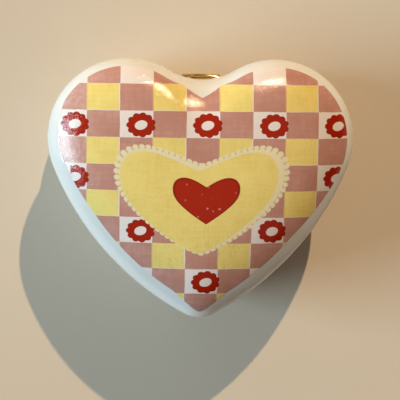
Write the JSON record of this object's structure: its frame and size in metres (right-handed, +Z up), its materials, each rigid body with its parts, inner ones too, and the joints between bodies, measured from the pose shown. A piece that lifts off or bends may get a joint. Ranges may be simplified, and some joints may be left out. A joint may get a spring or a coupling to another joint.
{
  "type": "pill box",
  "caption": "Heart-shaped hinged porcelain pill box: a puffed lid and base shell, each with a round brass bezel, joined by a pinned brass hinge at the cleft",
  "frame": {"origin": "middle of the box's width and depth, on the surface it stands on", "axes": "+X to the right across the lobes, +Y to the hinge and the cleft, -Y to the tip, +Z up"},
  "size_m": [0.0554, 0.0474, 0.025],
  "materials": {
    "porcelain": "gloss",
    "brass": "polished",
    "cement": "matte"
  },
  "bodies": {
    "base": {"base_shell": "porcelain", "base_bezel": "brass", "base_cement": "cement", "base_knuckle_left": "brass", "base_knuckle_right": "brass", "hinge_pin": "brass"},
    "lid": {"lid_shell": "porcelain", "lid_bezel": "brass", "lid_cement": "cement", "lid_knuckle": "brass"}
  },
  "joints": [
    {"name": "lid_hinge", "type": "hinge", "parent": "base", "child": "lid", "pos_m": [0, 0.02015, 0.0122], "axis": [-1, 0, 0], "range_deg": [0, 90]}
  ]
}
